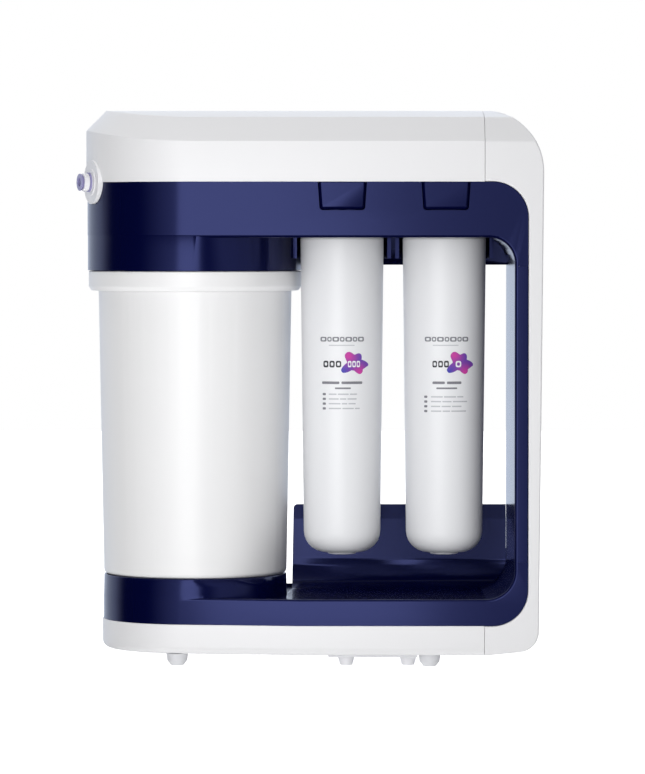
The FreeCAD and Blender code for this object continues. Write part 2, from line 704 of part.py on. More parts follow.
def make_tank():
    wall = 2.5
    top = size.collar_bottom + 4
    foot = size.cradle_top + 0.1
    node("tank_shell", turned("tank_shell", [
        (0, foot - 9), (58, foot - 9, 2), (60, foot), (size.tank_foot_radius, foot, 3.5),
        (size.tank_top_radius, size.collar_bottom - 0.8), (size.tank_top_radius + 2, size.collar_bottom),
        (size.tank_top_radius + 2, top), (size.tank_top_radius - wall, top),
        (size.tank_foot_radius - wall, foot + wall, 6), (0, foot + wall - 6),
    ], x=size.tank_x))
    lip = size.tank_top_radius + 0.6
    bore = size.tank_top_radius + 2.3
    node("tank_collar", turned("tank_collar", [
        (lip, size.collar_bottom - 2.6), (size.collar_radius - 2, size.collar_bottom - 2.2, 1.5),
        (size.collar_radius, size.collar_bottom + 1, 2), (size.collar_radius, size.skirt_bottom - 0.4, 1),
        (size.tank_top_radius - 1, size.skirt_bottom - 0.4),
        (size.tank_top_radius - 1, size.skirt_bottom - 1.7), (bore, size.skirt_bottom - 1.7),
        (bore, size.collar_bottom - 1.2), (lip, size.collar_bottom - 1.2),
    ], x=size.tank_x))
    node("tank_lid", turned("tank_lid", [
        (9, top + 12), (14, top + 12), (14, top + 3), (size.tank_top_radius - 8, top + 3),
        (size.tank_top_radius - 5, top + 6), (size.tank_top_radius + 1.6, top + 6),
        (size.tank_top_radius + 1.6, top + 3.2), (size.tank_top_radius - 3.2, top + 3.2),
        (size.tank_top_radius - 3.2, top - 8), (size.tank_top_radius - 5.6, top - 8),
        (size.tank_top_radius - 5.6, top), (9, top),
    ], x=size.tank_x))
    node("tank_seal", ring("tank_seal", size.tank_top_radius + 0.2, 1.5, x=size.tank_x, z=top + 1.6))
    node("tank_bladder", turned("tank_bladder", [
        (8.6, top - 1), (8.6, top + 9), (7.2, top + 9), (7.2, top - 2.4), (60.6, top - 2.4, 12),
        (58.6, foot + 7.4, 22), (0, foot + 7.4), (0, foot + 6), (60, foot + 6, 23), (62, top - 1, 13),
    ], x=size.tank_x))
    node("tank_stem", turned("tank_stem", [
        (0, top + 5), (6.8, top + 5), (6.8, top + 12.4), (15, top + 12.4, 1), (15, top + 16), (9, top + 16, 1),
        (9, top + 46), (3.3, top + 46), (3.3, top + 34), (0, top + 34),
    ], x=size.tank_x))


# ---------------------------------------------------------------- cartridges and their heads

def make_cartridge(side, x, y):
    bottom = size.cartridge_bottom
    top = size.cartridge_top
    wall = 2.2
    bottle = turned(f"bottle_{side}", [
        (0, bottom + 1.4), (size.cartridge_foot_radius, bottom + 1.4, 19), (size.cartridge_radius, top, 0.8),
        (size.cartridge_radius - wall, top), (size.cartridge_foot_radius - wall, bottom + 1.4 + wall, 17),
        (0, bottom + 1.4 + wall),
    ], x, y)
    foot_ring = turned(f"foot_ring_{side}", [
        (8.2, bottom), (10.6, bottom, 1), (10.6, bottom + 3.4), (8.2, bottom + 3.4),
    ], x, y)
    node(f"cartridge_shell_{side}", joined(f"cartridge_shell_{side}", bottle, foot_ring))
    neck = size.neck_radius
    cap = turned(f"cap_body_{side}", [
        (6, top - 6), (size.cartridge_radius - wall - 0.1, top - 6), (size.cartridge_radius - wall - 0.1, top),
        (size.cartridge_radius - 0.2, top + 0.1), (size.cartridge_radius - 0.2, top + 4, 2.5),
        (neck + 4, top + 6, 1), (neck, top + 6), (neck, top + 29), (neck - 1.6, top + 29),
        (neck - 1.6, top + 32), (neck, top + 32), (neck, top + 34), (neck - 1.6, top + 34),
        (neck - 1.6, top + 37), (neck, top + 37), (neck, top + 39, 1), (6, top + 39),
    ], x, y)
    lugs = box(f"cap_lugs_{side}", x - neck - 6, y - 3.5, top + 8.5, neck * 2 + 12, 7, 4)
    flow_way = cylinder(f"cap_flow_way_{side}", 6, 60, x=x, y=y, z=top - 10)
    solid = joined(f"cap_solid_{side}", cap, lugs)
    node(f"cartridge_cap_{side}", without(f"cartridge_cap_{side}", solid, flow_way))
    seals = [ring(f"neck_seal_{side}_{index}", neck - 0.1, 1.35, x=x, y=y, z=top + lift)
             for index, lift in enumerate((30.5, 35.5))]
    node(f"neck_seals_{side}", grouped(f"neck_seals_{side}", seals))


def make_filter_contents():
    """The rolled membrane in the left cartridge and the pressed carbon block in the right one."""
    y = size.cartridge_y
    bottom = size.cartridge_bottom
    left, right = [x for _, x in cartridge_spots()]
    node("membrane_roll", turned("membrane_roll", [
        (4.2, bottom + 22), (23.5, bottom + 22), (23.5, bottom + 216), (4.2, bottom + 216),
    ], left, y))
    node("membrane_core_tube", turned("membrane_core_tube", [
        (2.6, bottom + 14), (4, bottom + 14), (4, bottom + 228), (2.6, bottom + 228),
    ], left, y))
    node("membrane_brine_seal", turned("membrane_brine_seal", [
        (23.7, bottom + 205), (25, bottom + 203), (27.6, bottom + 210), (26.6, bottom + 211),
        (24.8, bottom + 207), (24.8, bottom + 210), (23.7, bottom + 210),
    ], left, y))
    node("carbon_block", turned("carbon_block", [
        (7, bottom + 24), (25, bottom + 24), (25, bottom + 212), (7, bottom + 212),
    ], right, y))
    caps = []
    for index, (low, flip) in enumerate(((22, 1), (214, -1))):
        start = bottom + low
        caps.append(turned(f"carbon_cap_{index}", [
            (4, start), (26.2, start), (26.2, start + 6 * flip), (25.3, start + 6 * flip),
            (25.3, start + 1.8 * flip), (4, start + 1.8 * flip),
        ] if flip > 0 else [
            (4, start), (4, start + 1.8 * flip), (25.3, start + 1.8 * flip), (25.3, start + 6 * flip),
            (26.2, start + 6 * flip), (26.2, start),
        ], right, y))
    node("carbon_end_caps", grouped("carbon_end_caps", caps))


def make_filter_head(side, x, y):
    deck = size.deck_top
    seat = deck + 0.05
    shell = turned(f"head_cup_{side}", [
        (size.rotor_radius + 0.3, seat), (37.6, seat), (37.6, seat + 3, 0.8), (size.head_radius, seat + 3),
        (size.head_radius, deck + 39, 4), (0, deck + 39), (0, deck + 34.5), (size.head_bore, deck + 34.5),
        (size.head_bore, deck + 20), (size.rotor_radius + 0.3, deck + 20),
    ], x, y)
    ears = box(f"head_ears_{side}", x - 15, y - 43, seat, 30, 86, 3)
    ears_way = cylinder(f"head_ears_way_{side}", size.rotor_radius + 0.3, 10, x=x, y=y, z=deck - 1)
    outlet = cylinder(f"head_outlet_{side}", 6, 13.4, x=x, y=y + size.head_radius + 6.9, z=deck + 24,
                      turn=((1, 0, 0), 90))
    guide_room = box(f"head_guide_room_{side}", x - 9.4, y - 36.2, deck - 1, 18.8, 3.3, 30)
    flow_way = cylinder(f"head_flow_way_{side}", 3, 60, x=x, y=y + size.head_radius + 10, z=deck + 24,
                        turn=((1, 0, 0), 90))
    flow_stop = cylinder(f"head_flow_stop_{side}", size.head_bore, 20, x=x, y=y, z=deck + 18)
    rod_way = cylinder(f"head_rod_way_{side}", 2.6, 20, x=x, y=-53, z=size.rod_height, turn=((1, 0, 0), 90))
    rear_way = without(f"head_rear_way_{side}", flow_way, box(f"head_front_half_{side}", x - 10, y - 60, deck,
                                                              20, 60, 60))
    screw_holes = [cylinder(f"head_screw_hole_{side}_{index}", 1.7, 10, x=x + across, y=y + along, z=deck - 2)
                   for index, (across, along) in enumerate(SCREW_OFFSETS)]
    solid = joined(f"head_solid_{side}", shell, outlet, without(f"head_open_ears_{side}", ears, ears_way))
    node(f"filter_head_{side}", without(f"filter_head_{side}", solid, guide_room, rear_way, flow_stop, rod_way,
                                        *screw_holes))
    rotor = turned(f"rotor_body_{side}", [
        (18.6, deck + 0.4), (size.rotor_radius, deck + 0.4), (size.rotor_radius, deck + 19.2),
        (18.6, deck + 19.2),
    ], x, y)
    slots = box(f"rotor_slots_{side}", x - 30, y - 3.9, deck - 1, 60, 7.8, 8.2)
    node(f"valve_rotor_{side}", without(f"valve_rotor_{side}", rotor, slots))


def make_release_button(side, x):
    face = size.half_depth - 0.1
    flat = front_prism(f"button_flat_{side}", button_outline(x, 0), -face + 3, 3)

    def on_face(edge):
        limits = edge.BoundBox
        return limits.YMax < 0.1 - number_of(face) and limits.ZMin < number_of(size.rod_height)

    plate = broken_edges(f"button_plate_{side}", flat, 1.8, on_face, rounded=False)
    rod = cylinder(f"button_rod_{side}", 2, 20.5, x=x, y=-58.5, z=size.rod_height, turn=((1, 0, 0), 90))
    stop = cylinder(f"button_stop_{side}", 4.5, 1, x=x, y=-78.4, z=size.rod_height, turn=((1, 0, 0), 90))
    node(f"release_button_{side}", joined(f"release_button_{side}", plate, rod, stop))
    coil = Part.makeHelix(2.0, 9, 3.0)
    coil_start = FreeCAD.Vector(3.0, 0, 0)
    section = Part.Wire(Part.makeCircle(0.35, coil_start, FreeCAD.Vector(0, 1, 0)))
    spring = Part.Wire(coil.Edges).makePipeShell([section], True, True)
    feature = from_shape(f"button_spring_{side}", spring)
    place(feature, number_of(x), -77.9 + 0.4, number_of(size.rod_height), turn=((1, 0, 0), -90))
    node(f"button_spring_{side}", feature)


# ---------------------------------------------------------------- tube ports

def make_ports():
    end = size.port_end
    rings = []
    seals = []
    for port, angle in port_spots():
        node(f"port_body_{port}", turned_for_port(f"port_body_{port}", [
            (1.2, 64), (2.05, 64), (2.05, 71.2), (size.port_radius, 71.2), (size.port_radius, 77.5),
            (size.port_radius + 2, 77.5), (size.port_radius + 2, 78.4), (size.port_radius, 78.4),
            (size.port_radius, 84.4), (5.9, 84.4), (5.9, 86), (size.port_radius - 0.3, 86),
            (size.port_radius - 0.3, end - 2.4, 0.5), (5.0, end - 2.4), (5.0, 78.5), (size.socket_bore, 78.5),
            (size.socket_bore, 73), (1.2, 73),
        ], angle))
        node(f"port_collet_{port}", turned_for_port(f"port_collet_{port}", [
            (3.45, 82.2), (4.8, 82.2), (4.8, end - 0.9), (size.port_radius - 0.5, end - 0.9),
            (size.port_radius - 0.5, end, 0.3), (3.45, end),
        ], angle))
        rings.append(turned_for_port(f"port_ring_{port}", [
            (6.0, 84.5), (size.port_radius + 0.3, 84.5), (size.port_radius + 0.3, 85.9), (6.0, 85.9),
        ], angle))
        seals.append(turned_for_port(f"tube_seal_{port}", [
            (3.65, 78.6), (4.9, 78.6), (4.9, 80.4), (3.65, 80.4),
        ], angle))
    node("port_rings", grouped("port_rings", rings))
    node("tube_seals", grouped("tube_seals", seals))


# ---------------------------------------------------------------- hydraulics above the deck

def make_hydraulics():
    deck = size.deck_top
    manifold = box("manifold_body", -14, 10, deck + 16, 142, 16, 16)
    ways = [cylinder("manifold_way", 3, 130, x=-8, y=18, z=deck + 24, turn=((0, 1, 0), 90))]
    for side, x in cartridge_spots():
        ways.append(cylinder(f"manifold_port_{side}", 6.1, 6, x=x, y=14, z=deck + 24, turn=((1, 0, 0), 90)))
    posts = [box(f"manifold_post_{index}", x, 13, deck + 0.1, 8, 10, 17)
             for index, x in enumerate((0, 58, 116))]
    node("manifold", without("manifold", joined("manifold_solid", manifold, *posts), *ways))

    valve_x, valve_y = VALVE_SPOT
    node("shutoff_valve_body", turned("shutoff_valve_body", [
        (0, deck + 0.1), (15, deck + 0.1), (15, deck + 18), (18, deck + 18), (18, deck + 21), (12.2, deck + 21),
        (12.2, deck + 4), (0, deck + 4),
    ], valve_x, valve_y))
    node("shutoff_piston", turned("shutoff_piston", [
        (0, deck + 9), (12.1, deck + 9), (12.1, deck + 15), (4, deck + 15), (4, deck + 19), (0, deck + 19),
    ], valve_x, valve_y))
    node("shutoff_valve_cap", turned("shutoff_valve_cap", [
        (5, deck + 21.1), (18, deck + 21.1), (18, deck + 27, 2), (5.5, deck + 27), (5.5, deck + 31),
        (size.socket_bore, deck + 31), (size.socket_bore, deck + 25.5), (2, deck + 25.5), (2, deck + 24),
        (5, deck + 24),
    ], valve_x, valve_y))

    check_x, check_y, check_z = 30, 50, deck + 14
    node("check_valve_body", turned("check_valve_body", [
        (size.socket_bore, 0), (5.5, 0), (5.5, 8), (8, 8, 1), (8, 32, 1), (5, 32), (5, 40), (2.2, 40),
        (2.2, 30), (5.6, 30), (5.6, 12), (2.2, 12), (2.2, 8), (size.socket_bore, 8),
    ], check_x, check_y, check_z, turn=((0, 1, 0), 90)))
    node("check_valve_poppet", turned("check_valve_poppet", [
        (0, 12.4), (4.8, 12.4), (4.8, 15), (5.4, 15), (5.4, 18), (2, 18), (2, 24), (0, 24),
    ], check_x, check_y, check_z, turn=((0, 1, 0), 90)))
    node("flow_restrictor", turned("flow_restrictor", [
        (0.5, 0), (3, 0), (3, 6), (5.5, 6, 1), (5.5, 36, 1), (size.socket_bore, 36),
        (size.socket_bore, 29), (0.5, 29),
    ], 88, check_y, check_z, turn=((0, 1, 0), 90)))
    clamps = []
    for index, (x, radius) in enumerate(((check_x + 20, 8.1), (106, 5.6))):
        base = box(f"clip_base_{index}", x - 4, check_y - 12, deck + 0.1, 8, 24, check_z - deck + 2)
        seat = cylinder(f"clip_seat_{index}", radius, 20, x=x - 10, y=check_y, z=check_z, turn=((0, 1, 0), 90))
        clamps.append(without(f"clip_{index}", base, seat))
    node("valve_clips", grouped("valve_clips", clamps))


def rounded_path(spots, radius):
    """Straight runs through the given points, joined by tangent arcs of one radius."""
    edges = []
    start = spots[0]
    for before, corner, after in zip(spots, spots[1:], spots[2:]):
        back = (before - corner).normalize()
        onward = (after - corner).normalize()
        half_angle = back.getAngle(onward) / 2
        setback = radius / math.tan(half_angle)
        arrival = corner + back * setback
        departure = corner + onward * setback
        centre_way = (back + onward).normalize()
        middle = corner + centre_way * (radius / math.sin(half_angle) - radius)
        edges.append(Part.LineSegment(start, arrival).toShape())
        edges.append(Part.Arc(arrival, middle, departure).toShape())
        start = departure
    edges.append(Part.LineSegment(start, spots[-1]).toShape())
    return Part.Wire(edges)


def water_tube(label, spots, radius):
    """A quarter inch tube that the unit holds all along its route."""
    path = rounded_path([FreeCAD.Vector(*spot) for spot in spots], radius)
    way = (path.Edges[0].Vertexes[-1].Point - path.Edges[0].Vertexes[0].Point).normalize()
    skins = []
    for reach in (number_of(size.tube_radius), number_of(size.tube_bore)):
        section = Part.Wire(Part.makeCircle(reach, path.Edges[0].Vertexes[0].Point, way))
        skins.append(path.makePipeShell([section], True, True))
    tube = skins[0].cut(skins[1])
    wanted = math.pi * (number_of(size.tube_radius) ** 2 - number_of(size.tube_bore) ** 2) * path.Length
    if abs(tube.Volume / wanted - 1) > 0.01:
        raise SystemExit(f"{label}: its volume is not its section times its length")
    node(label, from_shape(label, tube))


def make_tubes():
    """Feed to the shutoff valve, flow restrictor to the drain port, check valve to the product port."""
    level = number_of(size.cover_bottom)
    deck = number_of(size.deck_top)
    inner_end = 71

    def on_port(angle, distance):
        return tuple(along_port(angle, distance))

    valve_x, valve_y = VALVE_SPOT
    water_tube("feed_tube", [
        on_port(size.port_angle, inner_end), on_port(size.port_angle, 40), (valve_x, valve_y, level + 8),
        (valve_x, valve_y, deck + 25.8),
    ], 9)
    water_tube("drain_tube", [
        on_port(-size.port_angle, inner_end), on_port(-size.port_angle, 44), (-80, 34, level + 12),
        (-20, 62, level + 12), (110, 68, level + 2), (146, 68, deck + 14), (146, 50, deck + 14),
        (117.4, 50, deck + 14),
    ], 8)
    water_tube("product_tube", [
        on_port(-size.product_angle, inner_end), on_port(-size.product_angle, 46), (-60, 40, level + 2),
        (-6, 62, deck + 20), (14, 50, deck + 14), (37.6, 50, deck + 14),
    ], 8)


# ---------------------------------------------------------------- the whole unit

def make_unit():
    make_top_cover()
    make_side_cover()
    make_base_cover()
    make_head_housing()
    make_column_liner()
    make_base_tray()
    make_feet()
    make_underside_plate()
    make_tank()
    for side, x in cartridge_spots():
        make_cartridge(side, x, size.cartridge_y)
        make_filter_head(side, x, size.cartridge_y)
        make_release_button(side, x)
    make_filter_contents()
    make_ports()
    make_hydraulics()
    make_tubes()
    node("head_screws", grouped("head_screws", make_housing_screws()))


def check_document():
    doc.recompute()
    failed = [item.Name for item in doc.Objects if "Invalid" in item.State or "Error" in item.State]
    for piece in nodes:
        if piece.Shape.isNull() or not piece.Shape.isValid() or not piece.Shape.Solids:
            failed.append(piece.Label)
    if failed:
        raise SystemExit("these failed: " + ", ".join(failed))


def write_parts():
    os.makedirs("parts", exist_ok=True)
    for piece in nodes:
        piece.Shape.exportStep(f"parts/{piece.Label}.step")
    whole = Part.makeCompound([piece.Shape for piece in nodes])
    limits = whole.optimalBoundingBox(False)
    print(f"{len(nodes)} nodes, box {limits.XMin:.2f} {limits.YMin:.2f} {limits.ZMin:.2f} to "
          f"{limits.XMax:.2f} {limits.YMax:.2f} {limits.ZMax:.2f} mm")


make_unit()
check_document()
write_parts()
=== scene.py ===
import json
import math
import random

import bmesh
import bpy
from mathutils import Matrix, Vector


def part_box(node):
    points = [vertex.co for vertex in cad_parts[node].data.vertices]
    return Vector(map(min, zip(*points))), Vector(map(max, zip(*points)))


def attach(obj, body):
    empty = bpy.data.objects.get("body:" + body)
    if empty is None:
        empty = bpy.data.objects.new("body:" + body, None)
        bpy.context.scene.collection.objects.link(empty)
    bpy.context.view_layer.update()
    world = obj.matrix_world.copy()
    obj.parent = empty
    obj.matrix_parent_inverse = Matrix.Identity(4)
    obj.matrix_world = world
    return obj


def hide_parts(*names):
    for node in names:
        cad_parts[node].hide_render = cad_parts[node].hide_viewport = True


# Looks of an under-sink reverse osmosis unit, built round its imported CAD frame.
# Lengths are in metres; MM turns millimetres into them.

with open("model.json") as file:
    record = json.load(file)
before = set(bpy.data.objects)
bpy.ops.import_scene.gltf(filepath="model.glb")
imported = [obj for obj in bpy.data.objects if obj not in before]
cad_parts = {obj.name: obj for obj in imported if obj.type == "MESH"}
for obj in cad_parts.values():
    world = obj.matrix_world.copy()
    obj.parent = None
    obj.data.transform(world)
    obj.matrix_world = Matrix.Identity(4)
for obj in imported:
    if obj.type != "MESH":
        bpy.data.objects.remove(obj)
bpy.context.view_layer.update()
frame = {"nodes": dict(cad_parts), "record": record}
nodes = frame["nodes"]
MM = 0.001

# Flat joints as (axis, place): tray to column, column to head, and the seam between the white covers.
TIGHT_JOINTS = [(2, 78 * MM), (2, 297.5 * MM), (0, 130.35 * MM)]
WELD = 2e-6          # vertices closer than this are one
FLAT_ANGLE = 0.5     # faces that turn by fewer degrees are merged
FOLD_ANGLE = 28      # edges that turn by more degrees are rounded

CAMERA_PLACE = (0.01035, -3.465, 0.3213)
CAMERA_DIP = 1.914   # degrees below level
CAMERA_LENS = 213.0

# The fill lamps as (name, place, watts), and the height that they are aimed at.
FILL_TARGET_HEIGHT = 0.17
FILL_LAMPS = [("fill_left", (-0.2, -0.65, 0.17), 1.35), ("fill_right", (0.4, -0.85, 0.12), 0.35)]


# ---------------------------------------------------------------- mesh building blocks

def centre_of(node):
    """The vertical axis of a turned CAD node."""
    low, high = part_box(node)
    return (low.x + high.x) / 2, (low.y + high.y) / 2


def rounded_outline(corners, steps=7):
    """Points round a closed outline of (across, up) or (across, up, radius) corners, in millimetres."""
    count = len(corners)
    sharp = [Vector((c[0], c[1])) for c in corners]
    points = []
    for index, corner in enumerate(corners):
        here = sharp[index]
        if len(corner) < 3:
            points.append(here)
            continue
        back = (sharp[index - 1] - here).normalized()
        onward = (sharp[(index + 1) % count] - here).normalized()
        half = back.angle(onward) / 2
        centre = here + (back + onward).normalized() * (corner[2] / math.sin(half))
        first = here + back * (corner[2] / math.tan(half)) - centre
        sweep = first.angle_signed(here + onward * (corner[2] / math.tan(half)) - centre)
        for step in range(steps + 1):
            turn = Matrix.Rotation(-sweep * step / steps, 2)
            points.append(centre + turn @ first)
    return points


def finished(name, mesh, smooth_angle=32):
    """Links a mesh as an object, with smooth shading broken only at edges sharper than the angle."""
    mesh.shade_smooth()
    mesh.set_sharp_from_angle(angle=math.radians(smooth_angle))
    piece = bpy.data.objects.new(name, mesh)
    bpy.context.scene.collection.objects.link(piece)
    return piece


def lathe(name, corners, centre, segments=160):
    """A turned piece: corners are (radius, height) in millimetres about a vertical axis at centre."""
    points = rounded_outline(corners)
    bm = bmesh.new()
    rings = []
    for step in range(segments):
        angle = 2 * math.pi * step / segments
        rings.append([bm.verts.new((p.x * MM * math.cos(angle), p.x * MM * math.sin(angle), p.y * MM))
                      for p in points])
    for step in range(segments):
        ring = rings[step]
        after = rings[(step + 1) % segments]
        for index in range(len(points)):
            follow = (index + 1) % len(points)
            if points[index].x + points[follow].x > 1e-6:
                bm.faces.new((ring[index], after[index], after[follow], ring[follow]))
    bmesh.ops.remove_doubles(bm, verts=bm.verts, dist=1e-7)
    bmesh.ops.recalc_face_normals(bm, faces=bm.faces)
    bm.transform(Matrix.Translation((centre[0], centre[1], 0)))
    mesh = bpy.data.meshes.new(name)
    bm.to_mesh(mesh)
    bm.free()
    return finished(name, mesh)


def refined(node, bevel):
    """A copy of a CAD node's mesh with merged faces and softly rounded edges, which stands for the node.

    Edges that lie in one of the tight joints keep their sharp corner."""
    bm = bmesh.new()
    bm.from_mesh(nodes[node].data)
    bmesh.ops.remove_doubles(bm, verts=bm.verts, dist=WELD)
    bmesh.ops.dissolve_limit(bm, angle_limit=math.radians(FLAT_ANGLE), verts=bm.verts, edges=bm.edges)
    weights = bm.edges.layers.float.new("bevel_weight_edge")
    for edge in bm.edges:
        in_joint = any(max(abs(vertex.co[axis] - place) for vertex in edge.verts) < 0.3 * MM
                       for axis, place in TIGHT_JOINTS)
        folded = len(edge.link_faces) == 2 and edge.calc_face_angle() > math.radians(FOLD_ANGLE)
        edge[weights] = 1.0 if folded and not in_joint else 0.0
    mesh = bpy.data.meshes.new(node + "_skin")
    bm.to_mesh(mesh)
    bm.free()
    piece = finished(node + "_skin", mesh)
    rounding = piece.modifiers.new("rounding", "BEVEL")
    rounding.width = bevel
    rounding.segments = 3
    rounding.limit_method = "WEIGHT"
    rounding.harden_normals = True
    rounding.use_clamp_overlap = True
    return stand_for(piece, node)


def stand_for(piece, node):
    """Makes a piece ride on its node's body and hides the node."""
    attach(piece, body_of(node))
    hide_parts(node)
    return piece


def slot_of(node):
    return next(row["material_slot"] for row in frame["record"]["subparts"] if row["node"] == node)


def body_of(node):
    return next(name for name, members in frame["record"]["behaviour"]["bodies"].items() if node in members)


# ---------------------------------------------------------------- materials

def new_material(name):
    material = bpy.data.materials.new(name)
    material.use_nodes = True
    tree = material.node_tree
    return material, tree, tree.nodes["Principled BSDF"]


def add(tree, kind, inputs=(), **settings):
    """Adds a shader node; inputs are (socket, value or output socket) pairs."""
    item = tree.nodes.new(kind)
    for key, value in settings.items():
        setattr(item, key, value)
    for socket, value in inputs:
        if isinstance(value, bpy.types.NodeSocket):
            tree.links.new(value, item.inputs[socket])
        else:
            item.inputs[socket].default_value = value
    return item


def linear(red, green, blue):
    """A colour given as 0 to 255 display values, in the linear values that shaders use."""
    def one(level):
        share = level / 255
        return share / 12.92 if share <= 0.04045 else ((share + 0.055) / 1.055) ** 2.4
    return (one(red), one(green), one(blue), 1)


def plastic(name, colour, roughness, tint=0.02, grain=1400, bump=0.04, shine=(1, 1, 1, 1)):
    """Moulded plastic: faint uneven tint, roughness that drifts, and the fine texture of the mould."""
    material, tree, shader = new_material(name)
    place = add(tree, "ShaderNodeTexCoord").outputs["Object"]
    broad = add(tree, "ShaderNodeTexNoise", [("Vector", place), ("Scale", 9.0), ("Detail", 2.0)])
    fine = add(tree, "ShaderNodeTexNoise", [("Vector", place), ("Scale", grain), ("Detail", 4.0)])
    darker = tuple(c * (1 - tint) for c in colour[:3]) + (1,)
    shade = add(tree, "ShaderNodeMix", [("Factor", broad.outputs["Fac"]), ("A", darker), ("B", colour)],
                data_type="RGBA")
    drift = add(tree, "ShaderNodeMapRange", [("Value", broad.outputs["Fac"]), ("To Min", roughness * 0.9),
                                             ("To Max", roughness * 1.1)])
    relief = add(tree, "ShaderNodeBump", [("Height", fine.outputs["Fac"]), ("Strength", bump),
                                          ("Distance", 0.0002)])
    tree.links.new(shade.outputs["Result"], shader.inputs["Base Color"])
    tree.links.new(drift.outputs["Result"], shader.inputs["Roughness"])
    tree.links.new(relief.outputs["Normal"], shader.inputs["Normal"])
    shader.inputs["Specular Tint"].default_value = shine
    return material


def metal(name, colour, roughness):
    """Bright wire or screw steel, with fine drawing marks along its surface."""
    material, tree, shader = new_material(name)
    place = add(tree, "ShaderNodeTexCoord").outputs["Object"]
    marks = add(tree, "ShaderNodeTexNoise", [("Vector", place), ("Scale", 2500.0), ("Detail", 2.0)])
    drift = add(tree, "ShaderNodeMapRange", [("Value", marks.outputs["Fac"]), ("To Min", roughness * 0.7),
                                             ("To Max", roughness * 1.3)])
    tree.links.new(drift.outputs["Result"], shader.inputs["Roughness"])
    shader.inputs["Base Color"].default_value = colour
    shader.inputs["Metallic"].default_value = 1.0
    return material


def wound_film(name):
    """The rolled membrane: fine turns of pale film seen edge on."""
    material, tree, shader = new_material(name)
    place = add(tree, "ShaderNodeTexCoord").outputs["Object"]
    weave = add(tree, "ShaderNodeTexWave", [("Vector", place), ("Scale", 160.0), ("Distortion", 1.5)],
                bands_direction="DIAGONAL")
    shade = add(tree, "ShaderNodeMix", [("Factor", weave.outputs["Fac"]), ("A", linear(196, 190, 160)),
                                        ("B", linear(224, 220, 200))], data_type="RGBA")
    relief = add(tree, "ShaderNodeBump", [("Height", weave.outputs["Fac"]), ("Strength", 0.3),
                                          ("Distance", 0.0003)])
    tree.links.new(shade.outputs["Result"], shader.inputs["Base Color"])
    tree.links.new(relief.outputs["Normal"], shader.inputs["Normal"])
    shader.inputs["Roughness"].default_value = 0.55
    return material


def cloud_print(name, pink_spots):
    """Printing ink that is pink near the given points and turns through violet to blue away from them."""
    material, tree, shader = new_material(name)
    place = add(tree, "ShaderNodeTexCoord").outputs["Object"]
    distances = []
    for spot in pink_spots:
        away = add(tree, "ShaderNodeVectorMath", [(0, place), (1, spot)], operation="DISTANCE")
        distances.append(away.outputs["Value"])
    nearest = add(tree, "ShaderNodeMath", [(0, distances[0]), (1, distances[1])], operation="MINIMUM")
    grain = add(tree, "ShaderNodeTexNoise", [("Vector", place), ("Scale", 220.0), ("Detail", 2.0)])
    stir = add(tree, "ShaderNodeMapRange", [("Value", grain.outputs["Fac"]), ("To Min", -0.0012),
                                            ("To Max", 0.0012)])
    reach = add(tree, "ShaderNodeMath", [(0, nearest.outputs["Value"]), (1, stir.outputs["Result"])],
                operation="ADD")
    level = add(tree, "ShaderNodeMapRange", [("Value", reach.outputs["Value"]), ("From Min", 0.001),
                                             ("From Max", 0.0125)])
    ramp = add(tree, "ShaderNodeValToRGB", [("Fac", level.outputs["Result"])])
    stops = ramp.color_ramp.elements
    stops[0].color = linear(206, 66, 164)
    stops[1].color = linear(66, 66, 178)
    middle = stops.new(0.5)
    middle.color = linear(134, 70, 172)
    tree.links.new(ramp.outputs["Color"], shader.inputs["Base Color"])
    shader.inputs["Roughness"].default_value = 0.4
    return material


def make_materials():
    """One look for each material slot of the record."""
    white = linear(241, 241, 243)
    return {
        "white_cover": plastic("white_cover", white, 0.36),
        "tank_white": plastic("tank_white", linear(243, 243, 244), 0.34, grain=1100),
        "cartridge_white": plastic("cartridge_white", linear(241, 242, 245), 0.4, grain=1800),
        "cap_white": plastic("cap_white", linear(228, 229, 232), 0.5),
        "fitting_white": plastic("fitting_white", linear(240, 240, 244), 0.35),
        "blue_housing": plastic("blue_housing", (0.0012, 0.0022, 0.032, 1), 0.17, tint=0.1, bump=0.02,
                                shine=(0.32, 0.38, 1.0, 1)),
        "collet_violet": plastic("collet_violet", linear(150, 146, 190), 0.25, tint=0.1),
        "foot_grey": plastic("foot_grey", linear(226, 227, 231), 0.6, grain=900, bump=0.2),
        "dark_moulding": plastic("dark_moulding", (0.004, 0.005, 0.016, 1), 0.45, tint=0.2, bump=0.15),
        "grey_acetal": plastic("grey_acetal", linear(150, 152, 158), 0.45),
        "black_rubber": plastic("black_rubber", linear(26, 26, 28), 0.75, grain=800, bump=0.25),
        "membrane_film": wound_film("membrane_film"),
        "carbon": plastic("carbon", linear(30, 30, 32), 0.9, tint=0.3, grain=500, bump=0.6),
        "spring_steel": metal("spring_steel", linear(190, 192, 196), 0.3),
        "water_tube": plastic("water_tube", linear(226, 230, 238), 0.35, tint=0.05),
    }


looks = make_materials()
print_dark = plastic("print_dark", linear(52, 52, 58), 0.5, tint=0.1)
print_mid = plastic("print_mid", linear(132, 132, 140), 0.5, tint=0.1)
print_pale = plastic("print_pale", linear(196, 197, 204), 0.5, tint=0.05)
print_white = plastic("print_white", linear(245, 245, 250), 0.45)


def paint(piece, material):
    piece.data.materials.clear()
    piece.data.materials.append(material)
    return piece


# ---------------------------------------------------------------- camera, light and floor

def make_camera():
    """A long lens a little above the unit's middle, aimed slightly down."""
    lens = bpy.data.cameras.new("camera")
    lens.lens = CAMERA_LENS
    lens.sensor_width = 36.0
    lens.clip_end = 50
    camera = bpy.data.objects.new("camera", lens)
    camera.location = CAMERA_PLACE
    camera.rotation_euler = (math.radians(90 - CAMERA_DIP), 0, 0)
    bpy.context.scene.collection.objects.link(camera)
    bpy.context.scene.camera = camera


